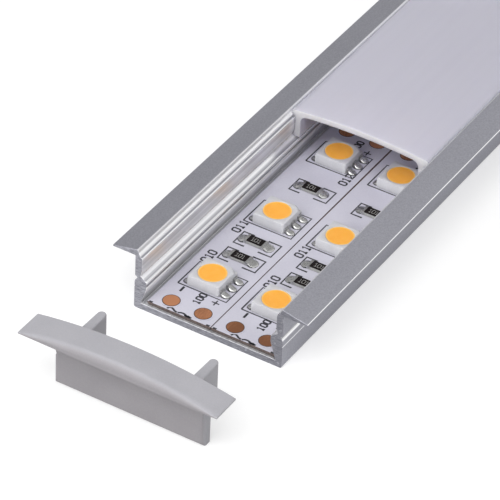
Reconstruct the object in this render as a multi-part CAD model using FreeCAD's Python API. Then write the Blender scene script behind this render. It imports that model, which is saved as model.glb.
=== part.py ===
import FreeCAD, Part
import math
import os

# A short cut of recessed aluminium profile with two LED strips side by side, a sliding opal
# cover and a push-in end cap. Millimetres. X is across the profile, Y along it, Z up.
# The origin is the middle of the profile's underside.

# LED strip: a flexible board on a sticky tape, cut in whole segments
board_width = 9.9
board_thickness = 0.27
tape_thickness = 0.25
tape_margin = 0.15
segment_length = 50.0
segments = 2
leds_per_segment = 3
board_joint = 0.1
board_shift = 0.3
board_side_gap = 0.2

# Solder pads beside each cut line
pad_diameter = 2.4
pad_thickness = 0.035
pad_offset = 2.5
pad_shift = 0.15
pad_from_cut = 1.85

# LED: a square white housing with a round window full of phosphor, three leads a side
led_size = 5.0
led_height = 1.6
window_diameter = 4.1
window_floor_diameter = 3.5
window_depth = 0.5
fill_drop = 0.04
mark_size = 1.0
mark_depth = 0.55
leads_per_side = 3
lead_pitch = 1.7
lead_width = 0.9
lead_thickness = 0.2
lead_height = 0.8
led_solder_reach = 0.75
led_solder_height = 0.5

# Chip resistor with wrapped metal ends
resistor_length = 3.2
resistor_width = 1.6
resistor_height = 0.55
resistor_offset = 0.5
resistor_pair_spacing = 4.1
terminal_length = 0.55
terminal_skin = 0.05
resistor_solder_reach = 1.2
resistor_solder_height = 0.42

# Aluminium profile, cut a little longer than the strips that it holds
strip_front_gap = 0.4
strip_back_gap = 0.6
base_thickness = 0.98
foot_wall = 1.05
undercut_height = 2.76
ledge_overhang = 0.86
ledge_height = 0.97
notch_rise = 0.73
notch_depth = 0.27
notch_ramp = 1.01
recess_wall = 1.14
recess_height = 2.0
step_width = 0.34
step_rise = 0.23
rim_lean = 0.42
rim_rise = 1.0
flange_reach = 3.55
flange_root_thickness = 1.06
flange_tip_thickness = 0.25
groove_height = 5.03
groove_depth = 0.4
groove_above = 0.28
groove_below = 0.57
guide_line_height = 3.55
guide_line_depth = 0.08
bottom_corner_radius = 0.3

# Opal cover
cover_clearance = 0.08
cover_wall = 1.0
leg_thickness = 0.85
foot_length = 0.4
foot_lift = 0.12
crown_radius = 90.0
cover_edge_radius = 0.3
cover_corner_radius = 1.1
cover_pulled_back = 38.9

# End cap
cap_distance = 17.5
plate_thickness = 1.5
plate_corner_radius = 0.6
cap_flange_depth = 4.6
lip_reach = 1.0
lip_start = 0.35
lip_slices = 6
peg_length = 5.7
peg_root_thickness = 1.5
peg_tip_thickness = 1.3
peg_edge_radius = 0.25
peg_side_gap = 0.15
peg_over_led = 0.5
peg_under_cover = 0.5

# Heights of the channel wall's corners, from the underside up
ledge_bottom = base_thickness + undercut_height
ledge_top = ledge_bottom + ledge_height
notch_level = ledge_top + notch_rise
recess_low = notch_level + notch_ramp
recess_high = recess_low + recess_height
seat_level = recess_high + step_rise
rim_level = seat_level + rim_rise
flange_underside = rim_level - flange_root_thickness
flange_tip_level = flange_underside + flange_tip_thickness

# Half widths of the same corners
floor_half = board_shift + board_joint / 2 + board_width + board_side_gap
body_half = floor_half + foot_wall
ledge_half = floor_half - ledge_overhang
recess_half = body_half - recess_wall
notch_half = recess_half + notch_depth
seat_half = recess_half + step_width
rim_half = seat_half + rim_lean
flange_half = body_half + flange_reach

# Places along the profile
strip_length = segments * segment_length
profile_length = strip_front_gap + strip_length + strip_back_gap
front = -profile_length / 2
strip_front = front + strip_front_gap
led_pitch = segment_length / leds_per_segment
leds_per_strip = segments * leds_per_segment

# Levels of the strip
board_bottom = base_thickness + tape_thickness
board_top = board_bottom + board_thickness
led_top = board_top + led_height

# Middle line of each strip
strip_centres = {
    "left": board_shift - board_joint / 2 - board_width / 2,
    "right": board_shift + board_joint / 2 + board_width / 2,
}


def vec(x, y, z):
    return FreeCAD.Vector(x, y, z)


def block(x_range, y_range, z_range):
    size = [pair[1] - pair[0] for pair in (x_range, y_range, z_range)]
    return Part.makeBox(size[0], size[1], size[2], vec(x_range[0], y_range[0], z_range[0]))


def polygon_edges(points):
    return [Part.makeLine(a, b) for a, b in zip(points[:-1], points[1:])]


def arc_edge(start, middle, end):
    return Part.Arc(start, middle, end).toShape()


def extrude(edges, direction):
    wire = Part.Wire(edges)
    return Part.Face(wire).extrude(direction)


def section_prism(outline, y_start, length):
    # outline: (x, z) corners of a closed section, carried along Y
    corners = [vec(x, y_start, z) for x, z in outline]
    return extrude(polygon_edges(corners + corners[:1]), vec(0, length, 0))


def mirrored(right_half):
    # right_half: (x, z) corners from the middle at the bottom round to the middle at the top
    left_half = [(-x, z) for x, z in reversed(right_half) if x > 0]
    return right_half + left_half


def shifted_path(path, distance):
    # Moves an open (x, z) path sideways to its left by a distance, with its corners mitred
    normals = []
    for (x0, z0), (x1, z1) in zip(path[:-1], path[1:]):
        span = math.hypot(x1 - x0, z1 - z0)
        normals.append(((z0 - z1) / span, (x1 - x0) / span))
    moved = []
    for index, (x, z) in enumerate(path):
        before = normals[max(index - 1, 0)]
        after = normals[min(index, len(normals) - 1)]
        stretch = 1 + before[0] * after[0] + before[1] * after[1]
        moved.append((x + distance * (before[0] + after[0]) / stretch,
                      z + distance * (before[1] + after[1]) / stretch))
    return moved


def round_long_edges(shape, places, radius):
    # places: (x, z) of the straight edges along Y that are rounded
    picked = []
    for edge in shape.Edges:
        ends = [vertex.Point for vertex in edge.Vertexes]
        if len(ends) != 2 or abs(ends[0].x - ends[1].x) + abs(ends[0].z - ends[1].z) > 1e-6:
            continue
        for x, z in places:
            if math.hypot(ends[0].x - x, ends[0].z - z) < 1e-3:
                picked.append(edge)
    return shape.makeFillet(radius, picked)


def crown_level(x):
    # The cover's outer face is one shallow arc that meets the rims of the profile
    drop = crown_radius - math.sqrt(crown_radius ** 2 - x ** 2)
    edge_drop = crown_radius - math.sqrt(crown_radius ** 2 - rim_half ** 2)
    return rim_level + edge_drop - drop


def channel_wall():
    # Right wall above the ledge, from the ledge's inner corner up to the rim
    return [
        (ledge_half, ledge_top),
        (notch_half, notch_level),
        (recess_half, recess_low),
        (recess_half, recess_high),
        (seat_half, seat_level),
        (rim_half, rim_level),
    ]


def aluminium_profile():
    outside = [
        (0, 0),
        (body_half, 0),
        (body_half, guide_line_height - guide_line_depth),
        (body_half - guide_line_depth, guide_line_height),
        (body_half, guide_line_height + guide_line_depth),
        (body_half, groove_height - groove_below),
        (body_half - groove_depth, groove_height),
        (body_half, groove_height + groove_above),
        (body_half, flange_underside),
        (flange_half, flange_underside),
        (flange_half, flange_tip_level),
    ]
    inside = list(reversed(channel_wall()))
    floor = [
        (ledge_half, ledge_bottom),
        (floor_half, base_thickness),
        (0, base_thickness),
    ]
    solid = section_prism(mirrored(outside + inside + floor), front, profile_length)
    corners = [(-body_half, 0), (body_half, 0)]
    return round_long_edges(solid, corners, bottom_corner_radius)


def opal_cover():
    # The outer side follows the channel wall at the sliding clearance, down to the foot
    ledge, bead, knee, shoulder, seat, rim = shifted_path(channel_wall(), cover_clearance)
    slope = (bead[1] - ledge[1]) / (bead[0] - ledge[0])
    foot_x = bead[0] - foot_length
    foot_level = bead[1] - slope * foot_length + foot_lift
    leg_inner = knee[0] - leg_thickness
    start = front + cover_pulled_back

    def point(pair):
        return vec(pair[0], start, pair[1])

    def flipped(pair):
        return (-pair[0], pair[1])

    top_level = rim_level - cover_clearance
    climb = (top_level - seat[1]) / (rim[1] - seat[1])
    top_edge = (seat[0] + climb * (rim[0] - seat[0]), top_level)
    leg_outside = [top_edge, seat, shoulder, knee, bead, (foot_x, foot_level)]
    corner_level = crown_level(leg_inner) - cover_wall
    leg_inside = [(leg_inner, foot_level), (leg_inner, corner_level)]
    right = leg_outside + leg_inside
    left = [flipped(pair) for pair in reversed(right)]
    crown = (0, crown_level(0) - cover_clearance)
    under_crown = (0, crown_level(0) - cover_wall)
    edges = [arc_edge(point(flipped(top_edge)), point(crown), point(top_edge))]
    edges += polygon_edges([point(pair) for pair in right])
    edges.append(arc_edge(point(right[-1]), point(under_crown), point(left[0])))
    edges += polygon_edges([point(pair) for pair in left])
    solid = extrude(edges, vec(0, profile_length, 0))
    solid = round_long_edges(solid, [top_edge, flipped(top_edge)], cover_edge_radius)
    inner_corners = [leg_inside[1], flipped(leg_inside[1])]
    return round_long_edges(solid, inner_corners, cover_corner_radius)


def flange_slice(y, share):
    # A slice across the flange, its arched top at a share of the full height
    tip = flange_underside + share * flange_tip_thickness
    full_rise = crown_level(0) - cover_clearance - flange_underside
    crown = vec(0, y, flange_underside + share * full_rise)
    tip_left = vec(-flange_half, y, tip)
    tip_right = vec(flange_half, y, tip)
    low_right = vec(flange_half, y, flange_underside)
    low_left = vec(-flange_half, y, flange_underside)
    edges = [arc_edge(tip_left, crown, tip_right)]
    edges += polygon_edges([tip_right, low_right, low_left, tip_left])
    return Part.Wire(edges)


def cap_flange(back):
    # Arched across the profile; along the front it swells up from a thin blunt nose
    nose = back - cap_flange_depth
    slices = []
    for step in range(lip_slices + 1):
        turn = math.pi / 2 * step / lip_slices
        y = nose + lip_reach * (1 - math.cos(turn))
        slices.append(flange_slice(y, lip_start + (1 - lip_start) * math.sin(turn)))
    slices.append(flange_slice(back, 1))
    return Part.makeLoft(slices, True, True)


def cap_plate(back):
    # The plate has the profile's own outline, with the clip groove carried on across it
    plate = block((-body_half, body_half), (back - plate_thickness, back), (0, flange_underside))
    front_edges = []
    for edge in plate.Edges:
        middle = edge.CenterOfMass
        on_front = abs(middle.y - back + plate_thickness) < 1e-6
        if on_front and middle.z < flange_underside - 1e-6:
            front_edges.append(edge)
    plate = plate.makeFillet(plate_corner_radius, front_edges)
    for side in (-1, 1):
        groove = [
            (side * body_half, groove_height - groove_below),
            (side * (body_half - groove_depth), groove_height),
            (side * body_half, groove_height + groove_above),
        ]
        plate = plate.cut(section_prism(groove, back - plate_thickness, plate_thickness))
    return plate


def cap_peg(back, side):
    # A flat tapered tongue with a half-round end, upright inside the cover's leg
    leg_inner = recess_half - cover_clearance - leg_thickness
    outer = leg_inner - peg_side_gap
    taper = (peg_root_thickness - peg_tip_thickness) / 2
    low = led_top + peg_over_led
    high = crown_level(leg_inner) - cover_wall - peg_under_cover
    round_start = back + peg_length - peg_tip_thickness / 2

    def point(x, y):
        return vec(side * x, y, low)

    root_inner = outer - peg_root_thickness
    tip_outer = outer - taper
    tip_inner = tip_outer - peg_tip_thickness
    tip_middle = (tip_outer + tip_inner) / 2
    edges = [
        Part.makeLine(point(root_inner, back), point(outer, back)),
        Part.makeLine(point(outer, back), point(tip_outer, round_start)),
        arc_edge(point(tip_outer, round_start), point(tip_middle, back + peg_length),
                 point(tip_inner, round_start)),
        Part.makeLine(point(tip_inner, round_start), point(root_inner, back)),
    ]
    peg = extrude(edges, vec(0, 0, high - low))
    top_edges = []
    for edge in peg.Edges:
        on_top = all(abs(vertex.Point.z - high) < 1e-6 for vertex in edge.Vertexes)
        if on_top and edge.CenterOfMass.y > back + 1e-6:
            top_edges.append(edge)
    return peg.makeFillet(peg_edge_radius, top_edges)


def end_cap():
    back = front - cap_distance
    parts = [cap_flange(back), cap_peg(back, -1), cap_peg(back, 1)]
    return cap_plate(back).fuse(parts).removeSplitter()


def adhesive_tape(centre):
    half = board_width / 2 - tape_margin
    return block((centre - half, centre + half), (strip_front, strip_front + strip_length),
                 (base_thickness, board_bottom))


def strip_board(centre):
    half = board_width / 2
    return block((centre - half, centre + half), (strip_front, strip_front + strip_length),
                 (board_bottom, board_top))


def led_places(centre):
    return [(centre, strip_front + (index + 0.5) * led_pitch) for index in range(leds_per_strip)]


def resistor_places(centre):
    # Three resistors in each segment: two side by side, then one alone
    places = []
    x = centre + resistor_offset
    for segment in range(segments):
        start = strip_front + segment * segment_length
        for y in (led_pitch - resistor_pair_spacing / 2, led_pitch + resistor_pair_spacing / 2,
                  2 * led_pitch):
            places.append((x, start + y))
    return places


def led_housing(x, y):
    half = led_size / 2
    body = block((x - half, x + half), (y - half, y + half), (board_top, led_top))
    window = Part.makeCone(window_floor_diameter / 2, window_diameter / 2, window_depth,
                           vec(x, y, led_top - window_depth))
    corner = vec(x + half, y + half, led_top - mark_depth)
    mark_corners = [corner, corner - vec(mark_size, 0, 0), corner - vec(0, mark_size, 0), corner]
    mark = extrude(polygon_edges(mark_corners), vec(0, 0, mark_depth))
    return body.cut(window).cut(mark)


def phosphor_fill(x, y):
    depth = window_depth - fill_drop
    widening = (window_diameter - window_floor_diameter) / 2 * depth / window_depth
    low_radius = window_floor_diameter / 2
    return Part.makeCone(low_radius, low_radius + widening, depth, vec(x, y, led_top - window_depth))


def lead_offsets():
    middle = (leads_per_side - 1) / 2
    return [(index - middle) * lead_pitch for index in range(leads_per_side)]


def led_lead_set(x, y):
    leads = []
    for side in (-1, 1):
        inner = x + side * led_size / 2
        outer = inner + side * lead_thickness
        span = (min(inner, outer), max(inner, outer))
        for offset in lead_offsets():
            y_range = (y + offset - lead_width / 2, y + offset + lead_width / 2)
            leads.append(block(span, y_range, (board_top, board_top + lead_height)))
    return leads


def solder_wedge(x, y, side, reach, height, width):
    # A fillet of solder that falls away from an upright metal face at x
    outline = [
        (x, board_top),
        (x + side * reach, board_top),
        (x + side * reach * 0.6, board_top + height * 0.5),
        (x, board_top + height),
    ]
    return section_prism(outline, y - width / 2, width)


def led_solder_set(x, y):
    wedges = []
    for side in (-1, 1):
        face = x + side * (led_size / 2 + lead_thickness)
        for offset in lead_offsets():
            wedges.append(solder_wedge(face, y + offset, side, led_solder_reach,
                                       led_solder_height, lead_width))
    return wedges


def resistor_body(x, y):
    half_length = resistor_length / 2 - terminal_skin
    half_width = resistor_width / 2
    return block((x - half_length, x + half_length), (y - half_width, y + half_width),
                 (board_top + terminal_skin, board_top + resistor_height - terminal_skin))


def resistor_terminal_set(x, y):
    # Each end is one thin metal clip over the top, the end and the underside
    terminals = []
    low = board_top
    high = board_top + resistor_height
    for side in (-1, 1):
        end = x + side * resistor_length / 2
        wall = end - side * terminal_skin
        tip = end - side * terminal_length
        outline = [
            (end, low),
            (end, high),
            (tip, high),
            (tip, high - terminal_skin),
            (wall, high - terminal_skin),
            (wall, low + terminal_skin),
            (tip, low + terminal_skin),
            (tip, low),
        ]
        terminals.append(section_prism(outline, y - resistor_width / 2, resistor_width))
    return terminals


def resistor_solder_set(x, y):
    wedges = []
    for side in (-1, 1):
        face = x + side * resistor_length / 2
        wedges.append(solder_wedge(face, y, side, resistor_solder_reach, resistor_solder_height,
                                   resistor_width))
    return wedges


def copper_pads(centre):
    pads = []
    for segment in range(segments):
        start = strip_front + segment * segment_length
        for y in (start + pad_from_cut, start + segment_length - pad_from_cut):
            for x in (centre + pad_shift - pad_offset, centre + pad_shift + pad_offset):
                pads.append(Part.makeCylinder(pad_diameter / 2, pad_thickness, vec(x, y, board_top)))
    return pads


def save(name, shape):
    shape.exportStep("parts/" + name + ".step")


def save_group(name, solids):
    save(name, Part.makeCompound(solids))


def save_strip(side, centre):
    save("adhesive_tape_" + side, adhesive_tape(centre))
    save("strip_board_" + side, strip_board(centre))
    save_group("copper_pads_" + side, copper_pads(centre))
    leads = []
    led_solder = []
    fills = []
    for number, (x, y) in enumerate(led_places(centre), 1):
        save("led_housing_" + side + "_" + str(number), led_housing(x, y))
        fills.append(phosphor_fill(x, y))
        leads += led_lead_set(x, y)
        led_solder += led_solder_set(x, y)
    save_group("led_phosphor_" + side, fills)
    save_group("led_leads_" + side, leads)
    save_group("led_solder_" + side, led_solder)
    terminals = []
    resistor_solder = []
    for number, (x, y) in enumerate(resistor_places(centre), 1):
        save("resistor_" + side + "_" + str(number), resistor_body(x, y))
        terminals += resistor_terminal_set(x, y)
        resistor_solder += resistor_solder_set(x, y)
    save_group("resistor_terminals_" + side, terminals)
    save_group("resistor_solder_" + side, resistor_solder)


os.makedirs("parts", exist_ok=True)
save("aluminium_profile", aluminium_profile())
save("opal_cover", opal_cover())
save("end_cap", end_cap())
for strip_side, strip_centre in strip_centres.items():
    save_strip(strip_side, strip_centre)
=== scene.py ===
# Finish of the recessed aluminium profile with its two LED strips, opal cover and end cap
import math

import bmesh
import bpy
from mathutils import Euler, Matrix, Vector


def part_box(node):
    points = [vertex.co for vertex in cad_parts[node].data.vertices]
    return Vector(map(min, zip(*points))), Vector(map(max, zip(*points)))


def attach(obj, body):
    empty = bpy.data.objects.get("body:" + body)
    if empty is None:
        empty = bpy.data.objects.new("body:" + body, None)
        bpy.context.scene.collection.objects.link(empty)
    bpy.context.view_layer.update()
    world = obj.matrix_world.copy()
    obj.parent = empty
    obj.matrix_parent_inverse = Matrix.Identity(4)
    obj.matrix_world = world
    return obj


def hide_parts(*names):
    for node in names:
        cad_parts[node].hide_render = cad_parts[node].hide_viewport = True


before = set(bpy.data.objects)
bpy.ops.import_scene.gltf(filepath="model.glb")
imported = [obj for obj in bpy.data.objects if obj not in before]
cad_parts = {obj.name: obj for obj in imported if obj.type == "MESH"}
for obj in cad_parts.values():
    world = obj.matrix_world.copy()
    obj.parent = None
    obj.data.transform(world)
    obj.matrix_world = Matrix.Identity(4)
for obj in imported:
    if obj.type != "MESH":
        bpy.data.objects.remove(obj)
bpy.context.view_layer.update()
mm = 0.001
sides = ("left", "right")
print("frame loaded with", len(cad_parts), "nodes")


# Camera, where the photograph was taken from
cameraSettings = {
    "place": (186.215, -363.432, 298.132),   # mm
    "azimuth": 29.948,
    "elevation": 37.879,
    "roll": 2.784,
    "lens": 256.56,
    "sensor": 36.0,
}


def makeCamera(settings):
    data = bpy.data.cameras.new("photoCamera")
    data.lens = settings["lens"]
    data.sensor_width = settings["sensor"]
    data.clip_start = 0.02
    data.clip_end = 20
    camera = bpy.data.objects.new("photoCamera", data)
    bpy.context.scene.collection.objects.link(camera)
    tilt = math.radians(90 - settings["elevation"])
    look = Euler((tilt, 0, math.radians(settings["azimuth"]))).to_matrix()
    turned = look @ Matrix.Rotation(math.radians(settings["roll"]), 3, "Z")
    camera.matrix_world = Matrix.Translation(Vector(settings["place"]) * mm) @ turned.to_4x4()
    bpy.context.scene.camera = camera


# Node trees: sums on a wire add Math nodes, and node() adds any other node
class Wire:
    def __init__(self, tree, socket=None):
        self.tree = tree
        self.socket = socket

    def node(self, kind, inputs=None, output=0, **settings):
        made = self.tree.nodes.new(kind)
        for name, value in settings.items():
            setattr(made, name, value)
        for name, value in (inputs or {}).items():
            if isinstance(value, Wire):
                self.tree.links.new(value.socket, made.inputs[name])
            else:
                made.inputs[name].default_value = value
        return Wire(self.tree, made.outputs[output] if len(made.outputs) else None)

    def maths(self, operation, *values):
        return self.node("ShaderNodeMath", dict(enumerate(values)), operation=operation)

    def __add__(self, other):
        return self.maths("ADD", self, other)

    def __sub__(self, other):
        return self.maths("SUBTRACT", self, other)

    def __rsub__(self, other):
        return self.maths("SUBTRACT", other, self)

    def __mul__(self, other):
        return self.maths("MULTIPLY", self, other)

    __radd__ = __add__
    __rmul__ = __mul__

    def absolute(self):
        return self.maths("ABSOLUTE", self)

    def stretched(self, scale):
        return self.node("ShaderNodeVectorMath", {0: self, 1: scale}, operation="MULTIPLY")

    def axis(self, name):
        return self.node("ShaderNodeSeparateXYZ", {"Vector": self}, output=name)

    def noise(self, scale, detail=2.0, roughness=0.5):
        values = {"Vector": self, "Scale": scale, "Detail": detail, "Roughness": roughness}
        return self.node("ShaderNodeTexNoise", values, output="Fac")

    def spread(self, low, high):
        # what runs from 0 to 1 now runs from low to high
        return low + (high - low) * self

    def step(self, low, high):
        values = {"Value": self, "From Min": low, "From Max": high}
        return self.node("ShaderNodeMapRange", values, interpolation_type="SMOOTHSTEP")

    def past(self, span):
        # a step between two places in mm
        return self.step(span[0] * mm, span[1] * mm)

    def mix(self, first, second):
        # colours mixed by this wire, as tuples or as wires
        ends = [(*colour, 1) if isinstance(colour, tuple) else colour for colour in (first, second)]
        return self.node("ShaderNodeMix", {0: self, 6: ends[0], 7: ends[1]}, 2, data_type="RGBA")

    def ramp(self, stops, reach):
        # a grey that runs through the stops, each a place in mm below the reach and a tone from 0 to 1
        made = self.tree.nodes.new("ShaderNodeValToRGB")
        share = 1 / (reach * mm) * self
        self.tree.links.new(share.socket, made.inputs["Fac"])
        elements = made.color_ramp.elements
        elements.remove(elements[1])
        for index, (place, tone) in enumerate(stops):
            element = elements[0] if index == 0 else elements.new(place / reach)
            element.position = place / reach
            element.color = (tone, tone, tone, 1)
        return Wire(self.tree, made.outputs["Color"])

    def bump(self, depth, strength=1.0):
        return self.node("ShaderNodeBump", {"Height": self, "Distance": depth * mm, "Strength": strength})


def startMaterial(name):
    material = bpy.data.materials.new(name)
    material.use_nodes = True
    material.node_tree.nodes.clear()
    start = Wire(material.node_tree)
    return material, start, start.node("ShaderNodeTexCoord", output="Object")


def endMaterial(material, start, values):
    shader = start.node("ShaderNodeBsdfPrincipled", values)
    start.node("ShaderNodeOutputMaterial", {"Surface": shader})
    return material


# Light, floor and white background
lightSettings = {
    "worldStrength": 0.50,
    "glossyLow": 0.49,
    "glossyHigh": 1.15,
    "glossySpan": (-0.15, 0.6),
    "floorHalf": 3.0,
    "floorColour": (0.55, 0.55, 0.55),
    "floorGlow": 0.52,
    "floorMirrored": 0.24,
    "lamps": [
        # name, place in mm, size in mm, watts, looks at in mm
        ("keyLamp", (60, -400, 740), 520, 2.25, (0, -10, 0)),
        ("frontLamp", (-200, -640, 400), 800, 3.35, (0, -40, 0)),
        ("sideLamp", (640, -160, 460), 420, 0.8, (0, 0, 0)),
    ],
}


def makeWorld(settings):
    world = bpy.data.worlds.new("studioWorld")
    bpy.context.scene.world = world
    world.use_nodes = True
    world.node_tree.nodes.clear()
    start = Wire(world.node_tree)
    camera, glossy, through = [start.node("ShaderNodeLightPath", output=name)
                               for name in ("Is Camera Ray", "Is Glossy Ray", "Is Transmission Ray")]
    # shiny metal sees a brighter studio to the right and a greyer one to the left
    across = start.node("ShaderNodeTexCoord", output="Generated").axis("X").step(*settings["glossySpan"])
    mirrored = across.spread(settings["glossyLow"], settings["glossyHigh"])
    lit = settings["worldStrength"] * (1 - glossy) + mirrored * glossy
    shown = camera + through
    strength = lit * (1 - shown) + shown
    light = start.node("ShaderNodeBackground", {"Color": (1, 1, 1, 1), "Strength": strength})
    start.node("ShaderNodeOutputWorld", {"Surface": light})


def makeLamp(name, place, size, power, target):
    data = bpy.data.lights.new(name, "AREA")
    data.shape = "DISK"
    data.size = size * mm
    data.energy = power
    lamp = bpy.data.objects.new(name, data)
    bpy.context.scene.collection.objects.link(lamp)
    start = Vector(place) * mm
    aim = (Vector(target) * mm - start).to_track_quat("-Z", "Y")
    lamp.matrix_world = Matrix.Translation(start) @ aim.to_matrix().to_4x4()


def makeFloor(settings):
    half = settings["floorHalf"]
    corners = [(-half, -half, 0), (half, -half, 0), (half, half, 0), (-half, half, 0)]
    mesh = bpy.data.meshes.new("studioFloor")
    mesh.from_pydata(corners, [], [(0, 1, 2, 3)])
    floor = bpy.data.objects.new("studioFloor", mesh)
    bpy.context.scene.collection.objects.link(floor)
    material, start = startMaterial("floorPaper")[:2]
    seen = start.node("ShaderNodeLightPath", output="Is Camera Ray")
    glossy = start.node("ShaderNodeLightPath", output="Is Glossy Ray")
    glow = settings["floorGlow"] * seen + settings["floorMirrored"] * glossy
    paper = start.node("ShaderNodeBsdfDiffuse", {"Color": (*settings["floorColour"], 1)})
    shine = start.node("ShaderNodeEmission", {"Color": (1, 1, 1, 1), "Strength": glow})
    both = start.node("ShaderNodeAddShader", {0: paper, 1: shine})
    start.node("ShaderNodeOutputMaterial", {"Surface": both})
    mesh.materials.append(material)


makeCamera(cameraSettings)
makeWorld(lightSettings)
for lampValues in lightSettings["lamps"]:
    makeLamp(*lampValues)
makeFloor(lightSettings)
bpy.context.scene.view_settings.view_transform = "Standard"
print("camera, light and floor made")


# Finishes
aluminiumSettings = {
    # mm, and a pair is where a change starts and where it is complete
    "channelSide": (11.35, 11.05),
    "channelFloor": (0.6, 0.8),
    "ledgeFoot": (2.8, 3.4),
    "ledgeHead": (3.7, 3.6),
    "rimFoot": (8.6, 8.8),
    "sawnAcross": (-16, 16),
    "bumpDepth": 0.014,
    "reliefDepth": 2.1,
    "rampReach": 10,
    "paintedTones": [
        # level and tone of the painted highlight and shade lines on the drawn wall, from the board up to the
        # rim
        (2.00, 0.45), (2.80, 1.00), (3.96, 1.00), (4.08, 0.25), (4.24, 0.10), (4.38, 0.55), (4.50, 1.00),
        (4.82, 1.00), (4.88, 0.10), (5.08, 0.45), (5.18, 0.90), (5.46, 0.90), (5.56, 0.75),
        (5.75, 1.00), (6.55, 1.00), (7.40, 0.82), (8.36, 0.90), (8.46, 1.00), (8.54, 0.00), (8.66, 0.00),
        (8.76, 0.90), (8.90, 1.00), (9.08, 0.92), (9.24, 0.75), (9.34, 0.70), (9.54, 0.75), (9.68, 1.00),
    ],
    "beads": [
        # level and height of the soft beads that the die left on the wall, as a share of reliefDepth
        (3.10, 1.00), (3.48, 0.93), (3.92, 0.33), (4.34, 0.30), (4.86, 0.15), (8.26, 0.16), (8.56, 0.08),
        (8.88, 0.08), (9.18, 0.00), (9.68, 0.00),
    ],
}


def anodisedAluminium(values):
    # blasted grain outside, drawn streaks with painted highlight and shade lines inside the channel, painted
    # highlights on rubbed edges, saw marks on the cut ends
    material, start, coords = startMaterial("anodisedAluminium")
    across = coords.axis("X")
    up = coords.axis("Z")
    normal = start.node("ShaderNodeNewGeometry", output="Normal")
    cutFace = normal.axis("Y").absolute().step(0.6, 0.95)
    # painted highlight: edges turned up and sideways are whitened in colour, and are also rubbed smoother
    rubbedEdgeAndHighlight = (normal.axis("X").absolute() * normal.axis("Z")).step(0.26, 0.46)
    inside = across.absolute().past(values["channelSide"]) * up.past(values["channelFloor"])
    channel = inside * (1 - cutFace)
    dieLines = coords.stretched((1, 0.003, 1)).noise(6500, 2, 0.6)
    broadLines = coords.stretched((1, 0.004, 1)).noise(1700, 2)
    grain = coords.noise(4600, 3, 0.75)
    cloud = coords.stretched((1, 0.35, 1)).noise(120, 2)
    mottle = (0.1 * dieLines + 0.8 * grain + 0.1 * cloud).step(0.3, 0.7)
    blasted = mottle.mix((0.366, 0.366, 0.411), (0.489, 0.489, 0.537))
    blastedWithEdgeHighlights = rubbedEdgeAndHighlight.mix(blasted, (0.97, 0.97, 0.98))
    # painted highlight and shade lines along the channel wall by height, mixed below with its drawn streaks
    paintedBands = up.ramp(values["paintedTones"], values["rampReach"])
    beads = up.ramp(values["beads"], values["rampReach"])
    streaks = (0.35 * dieLines + 0.65 * broadLines).step(0.40, 0.60)
    drawnWithPaintedLight = (0.25 * streaks + 0.75 * paintedBands).mix((0.22, 0.22, 0.25), (0.98, 0.98, 1.0))
    # the rim and the foot of the ledge mirror less and stay pale
    underLedge = up.past(values["ledgeFoot"]) * up.past(values["ledgeHead"])
    paleBand = channel * (up.past(values["rimFoot"]) + underLedge)
    # painted shade darkens the cut end towards its right side, and painted glints mark the nicks
    sawMarks = coords.stretched((0.25, 1, 2.2)).noise(4200, 3, 0.6)
    nickGlints = coords.noise(1300, 2).step(0.62, 0.72)
    shade = across.past(values["sawnAcross"]).spread(1.3, 0.6)
    sawn = (sawMarks.step(0.3, 0.7) * shade + 0.7 * nickGlints).mix((0.24, 0.24, 0.275), (0.50, 0.50, 0.55))
    relief = (0.15 * dieLines + 0.5 * grain * (1 - channel)) * (1 - cutFace) + sawMarks * cutFace
    relief = relief + values["reliefDepth"] / values["bumpDepth"] * channel * beads
    return endMaterial(material, start, {
        "Base Color": cutFace.mix(channel.mix(blastedWithEdgeHighlights, drawnWithPaintedLight), sawn),
        "Metallic": 1 - 0.4 * channel - 0.4 * paleBand,
        "Roughness": dieLines.spread(0.52, 0.60) - 0.22 * (channel + rubbedEdgeAndHighlight),
        "Normal": relief.bump(values["bumpDepth"], 0.7),
    })


def opalPlastic():
    # milky extruded cover, soft sheen, with a faint flow along its length
    material, start, coords = startMaterial("opalPlastic")
    flow = coords.stretched((1, 0.02, 1)).noise(700, 2)
    skin = coords.noise(2600, 2)
    cutFace = start.node("ShaderNodeNewGeometry", output="Normal").axis("Y").absolute().step(0.6, 0.95)
    milk = flow.step(0.2, 0.8).mix((0.69, 0.675, 0.84), (0.71, 0.695, 0.86))
    return endMaterial(material, start, {
        "Base Color": cutFace.mix(milk, (0.92, 0.91, 0.96)),
        "Roughness": skin.spread(0.42, 0.5),
        "Transmission Weight": 0.2,
        "Subsurface Weight": 0.8,
        "Subsurface Radius": (1.0, 1.0, 1.0),
        "Subsurface Scale": 0.005,
        "Specular IOR Level": 0.4,
        "Normal": (0.3 * flow + 0.7 * skin).bump(0.003, 0.5),
    })


def greyPlastic():
    # moulded cap: matt with a fine spark texture, with painted shade that makes its plate and other faces
    # turned to -Y darker and warmer
    material, start, coords = startMaterial("greyPlastic")
    spark = coords.noise(5200, 3, 0.6)
    cloud = coords.noise(160, 2)
    # painted shade: faces turned to -Y get a darker, warmer colour
    paintedPlateShade = start.node("ShaderNodeNewGeometry", output="Normal").axis("Y").step(-0.4, -0.9)
    mottle = (0.5 * spark + 0.5 * cloud).step(0.3, 0.7)
    arch = mottle.mix((0.378, 0.373, 0.402), (0.428, 0.422, 0.452))
    return endMaterial(material, start, {
        "Base Color": paintedPlateShade.mix(arch, mottle.mix((0.296, 0.282, 0.299), (0.334, 0.318, 0.336))),
        "Roughness": spark.spread(0.38, 0.52),
        "Specular IOR Level": 0.45,
        "Normal": spark.bump(0.012, 0.6),
    })


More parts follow.
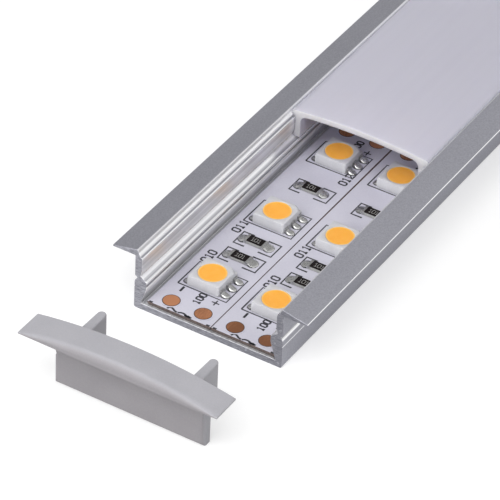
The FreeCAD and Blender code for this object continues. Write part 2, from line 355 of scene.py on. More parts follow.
def brownAdhesive():
    material, start, coords = startMaterial("brownAdhesive")
    fibres = coords.stretched((1, 0.3, 1)).noise(3800, 4, 0.7)
    return endMaterial(material, start, {
        "Base Color": fibres.step(0.3, 0.7).mix((0.075, 0.06, 0.055), (0.17, 0.145, 0.135)),
        "Roughness": 0.6,
        "Normal": fibres.bump(0.03),
    })


boardSettings = {
    # mm, and a pair is where a change starts and where it is complete
    "joint": 0.3,
    "jointHalf": (0.05, 0.10),
    "opening": 0.06,
    "openingAlong": (-35, -5),
}


def whiteMask(values):
    # printed board: white lacquer over copper tracks on a brown film, which shows at the cut edges
    material, start, coords = startMaterial("whiteMask")
    normal = start.node("ShaderNodeNewGeometry", output="Normal").axis("Z")
    top = normal.step(0.5, 0.9)
    speckle = coords.noise(4200, 3, 0.6)
    cloud = coords.noise(170, 2)
    pattern = {"Vector": coords, "Scale": 130.0, "Randomness": 0.8}
    islands = start.node("ShaderNodeTexVoronoi", pattern, "Color", distance="CHEBYCHEV").axis("X")
    tracks = islands.step(0.35, 0.38)
    white = (0.6 * cloud + 0.4 * speckle).step(0.3, 0.7).mix((0.56, 0.55, 0.635), (0.62, 0.61, 0.69))
    edge = speckle.step(0.3, 0.7).mix((0.07, 0.05, 0.05), (0.20, 0.14, 0.12))
    # the brown line at the joint of the two boards opens a little towards the cover
    opening = values["opening"] * mm * coords.axis("Y").past(values["openingAlong"])
    besideJoint = ((coords.axis("X") - values["joint"] * mm).absolute() - opening).past(values["jointHalf"])
    return endMaterial(material, start, {
        "Base Color": (top * besideJoint).mix(edge, white),
        "Roughness": speckle.spread(0.34, 0.46),
        "Normal": (0.8 * tracks + 0.2 * speckle).bump(0.02, 0.5),
    })


def printBlack():
    material, start, coords = startMaterial("printBlack")
    worn = coords.noise(7000, 3, 0.7)
    return endMaterial(material, start, {
        "Base Color": worn.step(0.25, 0.8).mix((0.012, 0.012, 0.016), (0.045, 0.045, 0.055)),
        "Roughness": 0.55,
        "Normal": worn.bump(0.004),
    })


def printWhite():
    material, start, coords = startMaterial("printWhite")
    worn = coords.noise(9000, 3, 0.7)
    return endMaterial(material, start, {
        "Base Color": worn.step(0.2, 0.6).mix((0.20, 0.195, 0.19), (0.44, 0.43, 0.415)),
        "Roughness": 0.6,
        "Normal": worn.bump(0.004),
    })


def whiteHousing():
    # moulded white resin of the LED body
    material, start, coords = startMaterial("whiteHousing")
    skin = coords.noise(5000, 3, 0.6)
    cloud = coords.noise(420, 2)
    mottle = (0.5 * skin + 0.5 * cloud).step(0.3, 0.7)
    return endMaterial(material, start, {
        "Base Color": mottle.mix((0.56, 0.56, 0.585), (0.62, 0.62, 0.645)),
        "Roughness": skin.spread(0.32, 0.46),
        "Subsurface Weight": 0.7,
        "Subsurface Radius": (1.0, 1.0, 1.0),
        "Subsurface Scale": 0.0012,
        "Normal": skin.bump(0.008, 0.6),
    })


def phosphorGel():
    # yellow phosphor in clear silicone, slightly settled and grainy
    material, start, coords = startMaterial("phosphorGel")
    powder = coords.noise(9000, 3, 0.7)
    settled = coords.noise(900, 2)
    gel = (0.6 * powder + 0.4 * settled).step(0.3, 0.7).mix((0.93, 0.395, 0.04), (0.97, 0.455, 0.068))
    thin = start.node("ShaderNodeAttribute", output="Fac", attribute_name="reach").step(0.84, 1.0)
    return endMaterial(material, start, {
        "Base Color": thin.mix(gel, (0.98, 0.62, 0.22)),
        "Roughness": powder.spread(0.18, 0.30),
        "Subsurface Weight": 0.25,
        "Subsurface Radius": (1.0, 0.6, 0.2),
        "Subsurface Scale": 0.0005,
        # painted glow: the unlit phosphor is given a faint emission
        "Emission Color": (1.0, 0.42, 0.03, 1.0),
        "Emission Strength": 0.07,
        "Normal": powder.bump(0.004, 0.5),
    })


def tinnedMetal():
    material, start, coords = startMaterial("tinnedMetal")
    frost = coords.noise(5200, 3, 0.65)
    return endMaterial(material, start, {
        "Base Color": frost.step(0.3, 0.7).mix((0.34, 0.34, 0.34), (0.56, 0.56, 0.55)),
        "Metallic": 1.0,
        "Roughness": frost.spread(0.28, 0.5),
        "Normal": frost.bump(0.012, 0.7),
    })


def brightSolder():
    # reflowed solder with frosted patches, and painted light: bright on its crown, dark on its steep sides
    material, start, coords = startMaterial("brightSolder")
    frost = coords.noise(2800, 3, 0.6)
    grain = coords.noise(8000, 2)
    # painted light: colour is bright where the lump faces up and dark where it is steep
    paintedCrownLight = start.node("ShaderNodeNewGeometry", output="Normal").axis("Z").step(0.15, 0.85)
    return endMaterial(material, start, {
        "Base Color": (0.75 * paintedCrownLight + 0.25 * frost).mix((0.06, 0.06, 0.065), (0.55, 0.55, 0.545)),
        "Metallic": 1.0,
        "Roughness": frost.step(0.35, 0.75).spread(0.2, 0.42),
        "Normal": (0.5 * frost + 0.5 * grain).bump(0.01, 0.6),
    })


def padCopper():
    # bare copper pads, tarnished unevenly from pad to pad
    material, start, coords = startMaterial("padCopper")
    tarnish = 0.6 * coords.stretched((1, 1, 0)).noise(190, 1) + 0.4 * coords.axis("X").step(0.012, -0.012)
    brushed = coords.stretched((1, 0.25, 1)).noise(5200, 3, 0.6)
    tone = 0.75 * tarnish + 0.25 * brushed
    return endMaterial(material, start, {
        "Base Color": tone.step(0.38, 0.62).mix((0.235, 0.09, 0.037), (0.53, 0.225, 0.105)),
        "Metallic": 0.35,
        "Roughness": brushed.spread(0.36, 0.5),
        "Normal": brushed.bump(0.008, 0.6),
    })


def padRimBrown():
    material, start, coords = startMaterial("padRimBrown")
    stain = coords.noise(2500, 2)
    return endMaterial(material, start, {
        "Base Color": stain.step(0.3, 0.7).mix((0.035, 0.022, 0.02), (0.09, 0.05, 0.04)),
        "Roughness": 0.5,
        "Normal": stain.bump(0.006),
    })


def ceramicGrey():
    material, start, coords = startMaterial("ceramicGrey")
    grit = coords.noise(6500, 3, 0.6)
    return endMaterial(material, start, {
        "Base Color": grit.step(0.3, 0.7).mix((0.30, 0.30, 0.29), (0.42, 0.42, 0.41)),
        "Roughness": 0.6,
        "Normal": grit.bump(0.01, 0.7),
    })


def blackCoating():
    material, start, coords = startMaterial("blackCoating")
    grit = coords.noise(7000, 3, 0.6)
    return endMaterial(material, start, {
        "Base Color": grit.step(0.3, 0.7).mix((0.008, 0.006, 0.006), (0.020, 0.016, 0.017)),
        "Roughness": grit.spread(0.5, 0.65),
        "Specular IOR Level": 0.05,
        "Normal": grit.bump(0.008, 0.6),
    })


# Every finish by the name of the record's slot, or by its own name where it has no slot
finishes = {
    "anodised_aluminium": anodisedAluminium(aluminiumSettings),
    "opal_plastic": opalPlastic(),
    "grey_plastic": greyPlastic(),
    "brown_adhesive": brownAdhesive(),
    "white_board": whiteMask(boardSettings),
    "white_housing": whiteHousing(),
    "phosphor": phosphorGel(),
    "tinned_metal": tinnedMetal(),
    "solder": brightSolder(),
    "copper": padCopper(),
    "black_coating": blackCoating(),
    "printBlack": printBlack(),
    "printWhite": printWhite(),
    "padRim": padRimBrown(),
    "ceramic": ceramicGrey(),
}
print("finishes made:", len(finishes))


def paint(piece, finish):
    piece.data.materials.clear()
    piece.data.materials.append(finishes[finish])


def keepNode(node, finish):
    # a solid whose shape is right stays and only gets its finish
    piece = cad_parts[node]
    paint(piece, finish)


def addPiece(piece, body, replaced):
    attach(piece, body)
    if replaced:
        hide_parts(*replaced)


# Softened shells: the solid's own form with its sharp edges broken as on the real piece
mergeWithin = 0.001   # mm
flatWithin = 0.2      # degrees
shortestShare = 0.42
shellSettings = {
    "aluminium_profile": {"name": "profile_extrusion", "body": "profile", "finish": "anodised_aluminium",
                          "edge": 0.15, "steps": 2, "sharp": 14},
    "opal_cover": {"name": "cover_extrusion", "body": "cover", "finish": "opal_plastic",
                   "edge": 0.10, "steps": 2, "sharp": 14},
    "end_cap": {"name": "cap_moulding", "body": "cap", "finish": "grey_plastic",
                "edge": 0.10, "steps": 3, "sharp": 32},
}


def softenedShell(node, values):
    work = bmesh.new()
    work.from_mesh(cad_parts[node].data)
    bmesh.ops.remove_doubles(work, verts=work.verts, dist=mergeWithin * mm)
    bmesh.ops.dissolve_limit(work, angle_limit=math.radians(flatWithin), verts=work.verts, edges=work.edges)
    weights = work.edges.layers.float.new("bevel_weight_edge")
    for edge in work.edges:
        if edge.calc_face_angle(0) > math.radians(values["sharp"]):
            # a rounding never takes more than its share of the shortest edge beside it
            beside = [other for vert in edge.verts for other in vert.link_edges if other != edge]
            room = min(other.calc_length() for other in beside)
            edge[weights] = min(1.0, shortestShare * room / (values["edge"] * mm))
    mesh = bpy.data.meshes.new(values["name"])
    work.to_mesh(mesh)
    work.free()
    mesh.shade_smooth()
    piece = bpy.data.objects.new(values["name"], mesh)
    bpy.context.scene.collection.objects.link(piece)
    paint(piece, values["finish"])
    rounding = piece.modifiers.new("brokenEdges", "BEVEL")
    rounding.width = values["edge"] * mm
    rounding.segments = values["steps"]
    rounding.limit_method = "WEIGHT"
    rounding.use_clamp_overlap = False
    # the flat faces keep their own direction, and only the roundings turn
    flattening = piece.modifiers.new("flatFaces", "WEIGHTED_NORMAL")
    flattening.mode = "FACE_AREA"
    flattening.weight = 100
    flattening.keep_sharp = True
    addPiece(piece, values["body"], [node])


for shellNode, shellValues in shellSettings.items():
    softenedShell(shellNode, shellValues)
for side in sides:
    keepNode("adhesive_tape_" + side, "brown_adhesive")
    keepNode("strip_board_" + side, "white_board")
    keepNode("copper_pads_" + side, "copper")
print("profile, cover, cap, boards and pads finished")


# Units: each small part is modelled once here, about its own middle on the board
def closedRings(work, rings, capFirst, capLast):
    # joins rings of equally many points into a skin
    layers = [[work.verts.new(point) for point in ring] for ring in rings]
    for low, high in zip(layers[:-1], layers[1:]):
        for index in range(len(low)):
            following = (index + 1) % len(low)
            work.faces.new((low[index], low[following], high[following], high[index]))
    if capFirst:
        work.faces.new(list(reversed(layers[0])))
    if capLast:
        work.faces.new(layers[-1])
    return layers


def unitObject(name, work):
    bmesh.ops.recalc_face_normals(work, faces=work.faces)
    mesh = bpy.data.meshes.new(name)
    work.to_mesh(mesh)
    work.free()
    mesh.shade_smooth()
    mesh.set_sharp_from_angle(angle=math.radians(35))
    return bpy.data.objects.new(name, mesh)


def turnedRing(radius, level, angles):
    return [Vector((radius * math.cos(a), radius * math.sin(a), level)) * mm for a in angles]


def squareRing(half, level, angles, cornerPower, notch=0.0):
    # square with rounded corners; the notch cuts its corner at +X +Y
    ring = []
    for a in angles:
        c, s = math.cos(a), math.sin(a)
        reach = half / (abs(c) ** cornerPower + abs(s) ** cornerPower) ** (1 / cornerPower)
        if notch and c + s > 0:
            reach = min(reach, (2 * half - notch) / (c + s))
        ring.append(Vector((reach * c, reach * s, level)) * mm)
    return ring


ledSettings = {
    "half": 2.5,
    "height": 1.6,
    "taper": 0.05,
    "edge": 0.10,
    "windowRadius": 2.05,
    "windowFloorRadius": 1.75,
    "windowDepth": 0.5,
    "cornerPower": 26,
    "notch": 1.05,
    "notchDepth": 0.55,
    "gelDrop": 0.075,
    "gelInset": 0.045,
    "gelSag": 0.03,
    "angleOffsets": (-45, -37.5, -30, -22.5, -15, -10, -6, -3, 0, 3, 6, 10, 15, 22.5, 30, 37.5),
}


def ringAngles(values):
    # points stand closer together near the four corners
    return [math.radians(45 + 90 * quarter + offset)
            for quarter in range(4) for offset in values["angleOffsets"]]


def ledHousingUnit(values):
    angles = ringAngles(values)
    power = values["cornerPower"]
    half, height, edge = values["half"], values["height"], values["edge"]
    slim = half - values["taper"]
    shelf = height - values["notchDepth"]
    notch = values["notch"]
    radius = values["windowRadius"]
    rings = [
        squareRing(half, 0.02, angles, power),
        squareRing(half, shelf, angles, power),
        squareRing(half - 0.01, shelf + 0.02, angles, power, notch * 0.55),
        squareRing(slim, height - edge, angles, power, notch * 0.8),
        squareRing(slim - edge * 0.3, height - edge * 0.3, angles, power, notch * 0.9),
        squareRing(slim - edge, height, angles, power, notch),
        turnedRing(radius + 0.08, height, angles),
        turnedRing(radius + 0.02, height - 0.02, angles),
        turnedRing(radius - 0.03, height - 0.08, angles),
        turnedRing(values["windowFloorRadius"], height - values["windowDepth"], angles),
    ]
    work = bmesh.new()
    closedRings(work, rings, True, True)
    return unitObject("ledHousingUnit", work)


def ledGelUnit(values):
    # the gel climbs the window's wall and sags a little in the middle
    angles = [math.radians(360 * index / 64) for index in range(64)]
    height = values["height"]
    low = height - values["windowDepth"] + 0.01
    radius = values["windowRadius"]
    rings = [turnedRing(values["windowFloorRadius"] - 0.02, low, angles),
             turnedRing(radius - values["gelInset"], height - values["gelDrop"], angles)]
    for share in (0.94, 0.85, 0.7, 0.5, 0.25):
        sag = values["gelSag"] * (1 - share ** 3)
        rings.append(turnedRing(radius * share, height - values["gelDrop"] - sag, angles))
    work = bmesh.new()
    closedRings(work, rings, True, True)
    unit = unitObject("ledGelUnit", work)
    reach = unit.data.attributes.new("reach", "FLOAT", "POINT")
    reach.data.foreach_set("value", [vert.co.xy.length / (radius * mm) for vert in unit.data.vertices])
    return unit


leadSettings = {
    "offsets": (-1.7, 0, 1.7),
    "width": 0.9,
    "thickness": 0.2,
    "foot": 0.01,
    "height": 0.8,
    "edge": 0.05,
    "tuck": 0.02,
    "solderReach": 1.15,
    "solderHeight": 0.55,
    "solderWidth": 1.2,
}


def blockWork(low, high, edge):
    # a block between two corners in mm, with its edges rounded
    work = bmesh.new()
    bmesh.ops.create_cube(work, size=1)
    for vert in work.verts:
        for axis in range(3):
            vert.co[axis] = (high[axis] if vert.co[axis] > 0 else low[axis]) * mm
    bmesh.ops.bevel(work, geom=list(work.edges), offset=edge * mm, segments=2, profile=0.5, affect="EDGES")
    return work


def joinUnits(name, works):
    whole = bmesh.new()
    for work in works:
        part = bpy.data.meshes.new("part")
        work.to_mesh(part)
        work.free()
        whole.from_mesh(part)
        bpy.data.meshes.remove(part)
    return unitObject(name, whole)


def ledLeadUnit(values):
    # three folded leads on the +X side of the housing
    works = []
    face = ledSettings["half"]
    half = values["width"] / 2
    for offset in values["offsets"]:
        low = (face - values["tuck"], offset - half, values["foot"])
        high = (face + values["thickness"], offset + half, values["height"])
        works.append(blockWork(low, high, values["edge"]))
    return joinUnits("ledLeadUnit", works)


def solderWork(place, width, reach, height):
    # a lump of solder against an upright face at x = 0: hollow near the face, round at its toe
    work = bmesh.new()
    steps, lanes = 9, 8
    grid = []
    for i in range(steps + 1):
        u = i / steps
        swell = 0.86 + 0.14 * math.sin(math.pi * min(1, u * 1.3))
        outline = width / 2 * math.sqrt(max(0.0, 1 - u ** 5)) * swell
        level = height * (0.42 * (1 - u) ** 2.4 + 0.58 * math.sqrt(max(0.0, 1 - u ** 2.6)))
        row = []
        for j in range(-lanes // 2, lanes // 2 + 1):
            v = math.sin(math.pi / 2 * j / (lanes / 2))
            rise = math.sqrt(max(0.0, 1 - v ** 4))
            point = Vector((place[0] + u * reach, place[1] + v * outline, level * rise))
            row.append(work.verts.new(point * mm))
        grid.append(row)
    for low, high in zip(grid[:-1], grid[1:]):
        for j in range(lanes):
            work.faces.new((low[j], high[j], high[j + 1], low[j + 1]))
    work.faces.new(grid[0])
    work.faces.new([row[0] for row in reversed(grid)] + [row[-1] for row in grid])
    bmesh.ops.remove_doubles(work, verts=work.verts, dist=0.0005 * mm)
    return work


def ledSolderUnit(values):
    face = ledSettings["half"] + values["thickness"] - values["tuck"]
    size = (values["solderWidth"], values["solderReach"], values["solderHeight"])
    works = [solderWork((face, offset), *size) for offset in values["offsets"]]
    return joinUnits("ledSolderUnit", works)


resistorSettings = {
    "length": 3.2,
    "width": 1.6,
    "height": 0.55,
    "skin": 0.05,
    "bodyInset": 0.03,
    "edge": 0.02,
    "coatLength": 2.4,
    "coatInset": 0.06,
    "coatRise": 0.01,
    "endLength": 0.55,
    "endFoot": 0.005,
    "endEdge": 0.07,
    "solderTuck": 0.03,
    "solderReach": 1.25,
    "solderHeight": 0.46,
    "solderWidth": 1.75,
    "figures": "101",
    "figureHeight": 0.72,
    "figurePitch": 0.52,
    "figureLine": 0.065,
    "figureRise": 0.012,
}


def resistorBodyUnit(values):
    half = values["length"] / 2 - values["skin"]
    wide = values["width"] / 2 - values["bodyInset"]
    low, high = (-half, -wide, values["skin"]), (half, wide, values["height"] - values["skin"])
    return joinUnits("resistorBodyUnit", [blockWork(low, high, values["edge"])])


def resistorCoatUnit(values):
    half = values["coatLength"] / 2
    wide = values["width"] / 2 - values["coatInset"]
    low = (-half, -wide, values["height"] - 2 * values["skin"])
    high = (half, wide, values["height"] + values["coatRise"])
    return joinUnits("resistorCoatUnit", [blockWork(low, high, values["edge"])])


def resistorEndUnit(values):
    # metal cap over one end of the body, at +X
    tip = values["length"] / 2
    wide = values["width"] / 2
    low, high = (tip - values["endLength"], -wide, values["endFoot"]), (tip, wide, values["height"])
    return joinUnits("resistorEndUnit", [blockWork(low, high, values["endEdge"])])


def resistorSolderUnit(values):
    place = (values["length"] / 2 - values["solderTuck"], 0)
    lump = solderWork(place, values["solderWidth"], values["solderReach"], values["solderHeight"])
    return joinUnits("resistorSolderUnit", [lump])


# Trees: each takes places, and gives what it grows there
def startTree(name, inputs):
    tree = bpy.data.node_groups.new(name, "GeometryNodeTree")
    face = tree.interface
    face.new_socket("Geometry", in_out="OUTPUT", socket_type="NodeSocketGeometry")
    face.new_socket("Geometry", in_out="INPUT", socket_type="NodeSocketGeometry")
    for label, kind in inputs.items():
        face.new_socket(label, in_out="INPUT", socket_type="NodeSocket" + kind)
    given = tree.nodes.new("NodeGroupInput")
    value = {socket.name: Wire(tree, socket) for socket in given.outputs if socket.name}
    start = Wire(tree)
    unit = start.node("GeometryNodeObjectInfo", {"Object": value["Unit"], "As Instance": True}, "Geometry")
    return tree, start, value, unit


def endTree(start, geometry, finish):
    done = start.node("GeometryNodeSetMaterial", {"Geometry": geometry, "Material": finish})
    start.node("NodeGroupOutput", {"Geometry": done})


def randomBetween(start, low, high, seed):
    values = {2: low, 3: high, "Seed": seed}
    return start.node("FunctionNodeRandomValue", values, 1, data_type="FLOAT")


# Repeating tree: stands a unit on every point, turned and sized a little unevenly
def repeatTree():
    tree, start, value, unit = startTree("standUnits", {
        "Unit": "Object", "Turn Spread": "Float", "Size Spread": "Float", "Height Spread": "Float",
        "Seed": "Int", "Finish": "Material"})
    turnSpread, sizeSpread, heightSpread = value["Turn Spread"], value["Size Spread"], value["Height Spread"]
    turn = start.node("GeometryNodeInputNamedAttribute", {"Name": "turn"}, data_type="FLOAT")
    uneven = randomBetween(start, turnSpread * -1.0, turnSpread, value["Seed"])
    flat = randomBetween(start, 1 - sizeSpread, 1 + sizeSpread, value["Seed"] + 7)
    tall = randomBetween(start, 1 - heightSpread, 1 + heightSpread, value["Seed"] + 13)
    spin = start.node("ShaderNodeCombineXYZ", {"Z": turn + uneven})
    rotation = start.node("FunctionNodeEulerToRotation", {"Euler": spin})
    size = start.node("ShaderNodeCombineXYZ", {"X": flat, "Y": flat, "Z": tall})
    stood = start.node("GeometryNodeInstanceOnPoints", {"Points": value["Geometry"], "Instance": unit,
                                                        "Rotation": rotation, "Scale": size})
    endTree(start, start.node("GeometryNodeRealizeInstances", {"Geometry": stood}), value["Finish"])
    return tree


# Printing tree: the unit's lines stand on every point and become flat ribbons of ink
def printTree():
    tree, start, value, unit = startTree("printLines", {
        "Unit": "Object", "Line Width": "Float", "Ink Thickness": "Float", "Finish": "Material"})
    stood = start.node("GeometryNodeInstanceOnPoints", {"Points": value["Geometry"], "Instance": unit})
    lines = start.node("GeometryNodeRealizeInstances", {"Geometry": stood})
    curve = start.node("GeometryNodeMeshToCurve", {"Mesh": lines})
    level = start.node("GeometryNodeSetCurveNormal", {"Curve": curve}, mode="Z_UP")
    section = start.node("GeometryNodeCurvePrimitiveQuadrilateral",
                         {"Width": value["Line Width"], "Height": value["Ink Thickness"]})
    ribbon = start.node("GeometryNodeCurveToMesh",
                        {"Curve": level, "Profile Curve": section, "Fill Caps": True})
    flat = start.node("GeometryNodeSetShadeSmooth", {"Geometry": ribbon, "Shade Smooth": False})
    endTree(start, start.node("GeometryNodeRealizeInstances", {"Geometry": flat}), value["Finish"])
    return tree


def placesMesh(name, places):
    # places: (point in metres, turn about Z in radians)
    mesh = bpy.data.meshes.new(name)
    mesh.from_pydata([point for point, turn in places], [], [])
    turns = mesh.attributes.new("turn", "FLOAT", "POINT")
    turns.data.foreach_set("value", [turn for point, turn in places])
    return mesh


def growPiece(name, places, tree, settings):
    # runs a tree on the places and keeps its result as a plain mesh
    piece = bpy.data.objects.new(name, placesMesh(name + "Places", places))
    bpy.context.scene.collection.objects.link(piece)
    modifier = piece.modifiers.new("grow", "NODES")
    modifier.node_group = tree
    for item in tree.interface.items_tree:
        if item.in_out == "INPUT" and item.name in settings:
            modifier[item.identifier] = settings[item.name]
    graph = bpy.context.evaluated_depsgraph_get()
    mesh = bpy.data.meshes.new_from_object(piece.evaluated_get(graph), depsgraph=graph)
    piece.modifiers.clear()
    piece.data = mesh
    mesh.name = name
    return piece


def middleOf(node):
    # middle of a node's box, at its lowest level
    low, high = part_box(node)
    return Vector(((low.x + high.x) / 2, (low.y + high.y) / 2, low.z))


standUnits = repeatTree()
printLines = printTree()
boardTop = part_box("strip_board_left")[1].z
ledNodes = sorted(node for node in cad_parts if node.startswith("led_housing_"))
resistorNodes = sorted(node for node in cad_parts
                       if node.startswith("resistor_left_") or node.startswith("resistor_right_"))
ledPlaces = [middleOf(node) for node in ledNodes]
resistorPlaces = [Vector((*middleOf(node).xy, boardTop)) for node in resistorNodes]
resistorsEach = 3   # on one strip, in one segment


def facing(points, turns=(0, math.pi), tuck=0.0):
    # every point once for each turn; what is turned round stands further under the part by the tuck
    return [(point + Vector((tuck * mm if turn else 0, 0, 0)), turn) for point in points for turn in turns]


def standPiece(name, unit, places, finish, replaced, uneven=(0, 0, 0), seed=1):
    settings = {"Unit": unit, "Turn Spread": uneven[0], "Size Spread": uneven[1],
                "Height Spread": uneven[2], "Seed": seed, "Finish": finishes[finish]}
    piece = growPiece(name, places, standUnits, settings)
    addPiece(piece, "profile", replaced)
    return piece


def bothSides(stem):
    return [stem + side for side in sides]


atLeds = facing(ledPlaces, (0,))
atResistors = facing(resistorPlaces, (0,))
standPiece("led_housings", ledHousingUnit(ledSettings), atLeds, "white_housing", ledNodes)
standPiece("led_windows", ledGelUnit(ledSettings), atLeds, "phosphor",
           bothSides("led_phosphor_"))
standPiece("led_lead_rows", ledLeadUnit(leadSettings), facing(ledPlaces), "tinned_metal",
           bothSides("led_leads_"))
standPiece("led_solder_lumps", ledSolderUnit(leadSettings), facing(ledPlaces, tuck=0.4), "solder",
           bothSides("led_solder_"), (0.01, 0.01, 0.12), 3)
standPiece("resistor_ceramics", resistorBodyUnit(resistorSettings), atResistors, "ceramic",
           resistorNodes)
standPiece("resistor_coats", resistorCoatUnit(resistorSettings), atResistors, "black_coating",
           [])
standPiece("resistor_ends", resistorEndUnit(resistorSettings), facing(resistorPlaces), "tinned_metal",
           bothSides("resistor_terminals_"))
standPiece("resistor_solder_lumps", resistorSolderUnit(resistorSettings), facing(resistorPlaces), "solder",
           bothSides("resistor_solder_"), (0.02, 0.02, 0.1), 5)
print("LEDs and resistors stood on", len(ledPlaces), "and", len(resistorPlaces), "places")


# Printing on the boards: boxes, polarity signs, plain numbers and cut marks
printSettings = {
    "ledLine": 0.22,
    "resistorLine": 0.28,
    "numberLine": 0.27,
    "cutLine": 0.29,
    "signLine": 0.19,
    "thickness": 0.016,
    "ledBox": ((-3.70, -2.75), (3.90, 2.78)),
    "resistorBox": ((-2.75, -1.42), (3.20, 1.42)),
    "resistorGap": (-1.05, 1.15),
    "signLength": 1.15,
    "minusHalf": 0.07,
    "signPlaces": ((2.8, 4.7, "+"), (-2.5, 4.75, "-"), (2.6, 45.3, "+"), (-2.5, 45.25, "-")),
    "numberHeight": 1.15,
    "numberPitch": 0.95,
    "ledNumbers": ((-3.35, 11.5, "010"), (-3.35, 19.5, "011"), (3.3, 36.9, "012")),
    "smallHeight": 0.95,
    "smallPitch": 0.84,
    "segmentNumber": ((0.55, 3.2, "100"), (0.55, 44.9, "100")),
    "cutMarks": [
        [(-1.95, 0.14), (-1.8, 0.5), (-1.55, 0.62), (-1.2, 0.5), (-0.85, 0.26), (-0.4, 0.14)],
        [(-0.3, 0.17), (0.1, 0.4), (0.5, 0.44), (0.95, 0.3)],
        [(0.75, 0.16), (1.3, 0.28), (1.85, 0.14)],
        [(0.95, 0.14), (1.7, 0.14)],
        [(-4.75, 0.14), (-4.2, 0.14)],
        [(4.2, 0.14), (4.75, 0.14)],
    ],
}

figureWidth = 0.6
strokes = {
    # strokes of each figure in a box of the figures' width and 1 high
    "0": [[(0.12, 0), (0.48, 0), (0.6, 0.16), (0.6, 0.84), (0.48, 1), (0.12, 1), (0, 0.84), (0, 0.16),
           (0.12, 0)]],
    "1": [[(0.08, 0.8), (0.32, 1), (0.32, 0)], [(0.1, 0), (0.54, 0)]],
    "2": [[(0, 0.84), (0.12, 1), (0.48, 1), (0.6, 0.84), (0.6, 0.6), (0, 0), (0.62, 0)]],
}


def figureLines(text, pitch):
    # strokes of a row of figures, from the origin along +X, in units of their height
    return [[(x + index * pitch, y) for x, y in stroke]
            for index, figure in enumerate(text) for stroke in strokes[figure]]


def linesObject(name, lines, level):
    points = []
    edges = []
    for line in lines:
        first = len(points)
        points += [Vector((x, y, 0)) * mm + Vector((0, 0, level)) for x, y in line]
        edges += [(index, index + 1) for index in range(first, len(points) - 1)]
    mesh = bpy.data.meshes.new(name)
    mesh.from_pydata(points, edges, [])
    return bpy.data.objects.new(name, mesh)


def boxLines(low, high, gap=None):
    (x0, y0), (x1, y1) = low, high
    if gap is None:
        return [[(x0, y0), (x1, y0), (x1, y1), (x0, y1), (x0, y0)]]
    left = [(gap[0], y0), (x0, y0), (x0, y1), (gap[0], y1)]
    right = [(gap[1], y0), (x1, y0), (x1, y1), (gap[1], y1)]
    return [left, right]


def upright(lines, place, height):
    # figures read along +Y, with their heads towards -X
    return [[(place[0] - y * height, place[1] + x * height) for x, y in line] for line in lines]


def signLines(values):
    # the minus is a bar of two strokes side by side
    half, aside = values["signLength"] / 2, values["minusHalf"]
    lines = []
    for x, y, sign in values["signPlaces"]:
        if sign == "+":
            lines += [[(x, y - half), (x, y + half)], [(x - half, y), (x + half, y)]]
        else:
            lines += [[(x + shift, y - half), (x + shift, y + half)] for shift in (-aside, aside)]
    return lines


def numberLines(values):
    lines = []
    for numbers, height, pitch in (("ledNumbers", "numberHeight", "numberPitch"),
                                   ("segmentNumber", "smallHeight", "smallPitch")):
        tall = values[height]
        for x, y, text in values[numbers]:
            lines += upright(figureLines(text, values[pitch] / tall), (x + tall / 2, y), tall)
    return lines


def cutLines(values, way):
    # half of a cut sign on one side of the cut line: a handle, two blades and the dashes
    return [[(x, way * y) for x, y in line] for line in values["cutMarks"]]


segmentCount = len(resistorPlaces) // (resistorsEach * len(sides))
boards = {side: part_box("strip_board_" + side) for side in sides}
boardStart = boards["left"][0].y
segmentLength = (boards["left"][1].y - boardStart) / segmentCount
stripMiddles = [(boards[side][0].x + boards[side][1].x) / 2 for side in sides]
segmentPlaces = [(Vector((x, boardStart + index * segmentLength, boardTop)), 0)
                 for x in stripMiddles for index in range(segmentCount)]
inkLevel = 0.3 * printSettings["thickness"] * mm   # of the ribbons' middle, so their underside is sunk


def printPiece(name, lines, places, width, finish="printBlack", level=inkLevel):
    settings = {"Unit": linesObject(name + "Lines", lines, level), "Line Width": width * mm,
                "Ink Thickness": printSettings["thickness"] * mm, "Finish": finishes[finish]}
    addPiece(growPiece(name, places, printLines, settings), "profile", [])


def printBoards(values):
    onBoard = facing([Vector((place.x, place.y, boardTop)) for place in ledPlaces], (0,))
    printPiece("print_led_boxes", boxLines(*values["ledBox"]), onBoard, values["ledLine"])
    brackets = boxLines(*values["resistorBox"], values["resistorGap"])
    printPiece("print_resistor_boxes", brackets, atResistors, values["resistorLine"])
    printPiece("print_signs", signLines(values), segmentPlaces, values["signLine"])
    printPiece("print_numbers", numberLines(values), segmentPlaces, values["numberLine"])
    segmentEnds = [(place + Vector((0, segmentLength, 0)), turn) for place, turn in segmentPlaces]
    printPiece("print_cut_marks_front", cutLines(values, 1), segmentPlaces, values["cutLine"])
    printPiece("print_cut_marks_back", cutLines(values, -1), segmentEnds, values["cutLine"])


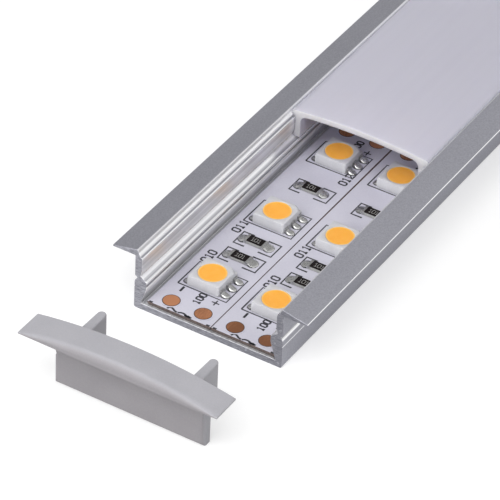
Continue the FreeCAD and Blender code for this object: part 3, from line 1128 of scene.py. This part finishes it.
def printResistors(values):
    # plain figures that read along the resistor
    height = values["figureHeight"]
    pitch = values["figurePitch"] / height
    row = figureLines(values["figures"], pitch)
    length = values["figurePitch"] * (len(values["figures"]) - 1) + figureWidth * height
    lines = [[(x * height - length / 2, (y - 0.5) * height) for x, y in line] for line in row]
    level = (values["height"] + values["figureRise"]) * mm
    printPiece("resistor_figures", lines, atResistors, values["figureLine"], "printWhite", level)


printBoards(printSettings)
printResistors(resistorSettings)
print("boards and resistors printed")


# Dark rim and raised lacquer lip round each copper pad
padSettings = {
    "radius": 1.2,
    "rimWidth": 0.14,
    "rimOnPad": 0.6,
    "rimHeight": 0.045,
    "lipWidth": 0.2,
    "lipTuck": 0.01,
    "lipHeight": 0.03,
    "offset": 2.5,
    "shift": 0.15,
    "fromCut": 1.85,
}


def ringUnit(name, inner, outer, height):
    angles = [math.radians(360 * index / 48) for index in range(48)]
    middle = (inner + outer) / 2
    rings = [turnedRing(inner, 0, angles), turnedRing(inner, height * 0.6, angles),
             turnedRing(middle, height, angles), turnedRing(outer, height * 0.5, angles),
             turnedRing(outer, 0, angles)]
    work = bmesh.new()
    layers = closedRings(work, rings, False, False)
    for index in range(len(angles)):
        following = (index + 1) % len(angles)
        work.faces.new((layers[-1][index], layers[-1][following], layers[0][following], layers[0][index]))
    return unitObject(name, work)


def padPlaces(values):
    places = []
    for point, turn in segmentPlaces:
        for along in (values["fromCut"] * mm, segmentLength - values["fromCut"] * mm):
            for across in (values["shift"] - values["offset"], values["shift"] + values["offset"]):
                places.append((point + Vector((across * mm, along, 0)), turn))
    return places


def padRims(values):
    places = padPlaces(values)
    inner = values["radius"] - values["rimWidth"] * values["rimOnPad"]
    outer = inner + values["rimWidth"]
    rim = ringUnit("rimUnit", inner, outer, values["rimHeight"])
    standPiece("pad_rims", rim, places, "padRim", [])
    lip = ringUnit("lipUnit", outer - values["lipTuck"], outer + values["lipWidth"], values["lipHeight"])
    standPiece("pad_lips", lip, places, "white_board", [])


padRims(padSettings)
print("pads rimmed")
